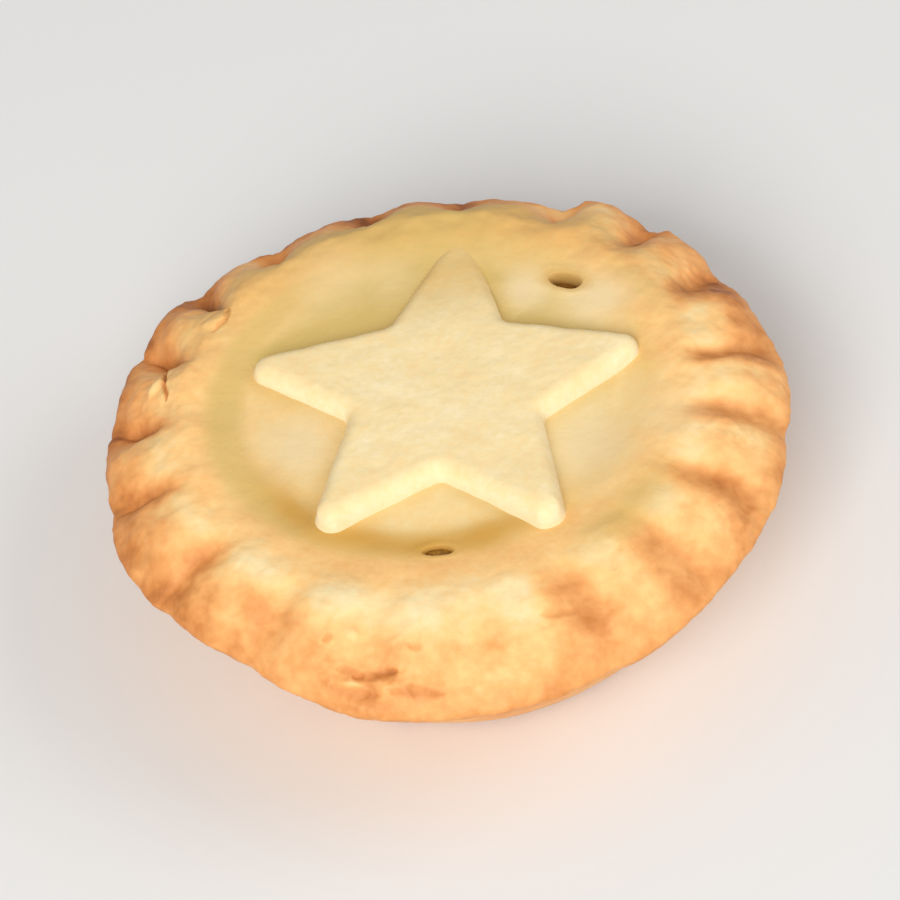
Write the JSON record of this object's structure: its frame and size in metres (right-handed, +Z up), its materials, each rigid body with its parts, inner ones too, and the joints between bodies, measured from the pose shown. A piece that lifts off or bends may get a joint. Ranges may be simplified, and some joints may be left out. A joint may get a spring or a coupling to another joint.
{
  "type": "mince pie",
  "caption": "Small round mince pie with a fluted shortcrust rim, a raised pastry star on its sunken lid, steam vents and a plain tapered case.",
  "frame": {"origin": "middle of the pie's outline, on the plane of the flat base that it rests on", "axes": "+Z up through the lid, +Y away from the picture's viewer, +X to the viewer's right"},
  "size_m": [0.056, 0.0558, 0.0176],
  "materials": {
    "pastry": "matt baked shortcrust pastry, pale on the lid and golden orange to brown on the rim",
    "filling": "dark sticky fruit filling, seen down the steam vents only"
  },
  "bodies": {
    "root": {"mince_pie": "pastry"}
  },
  "joints": []
}
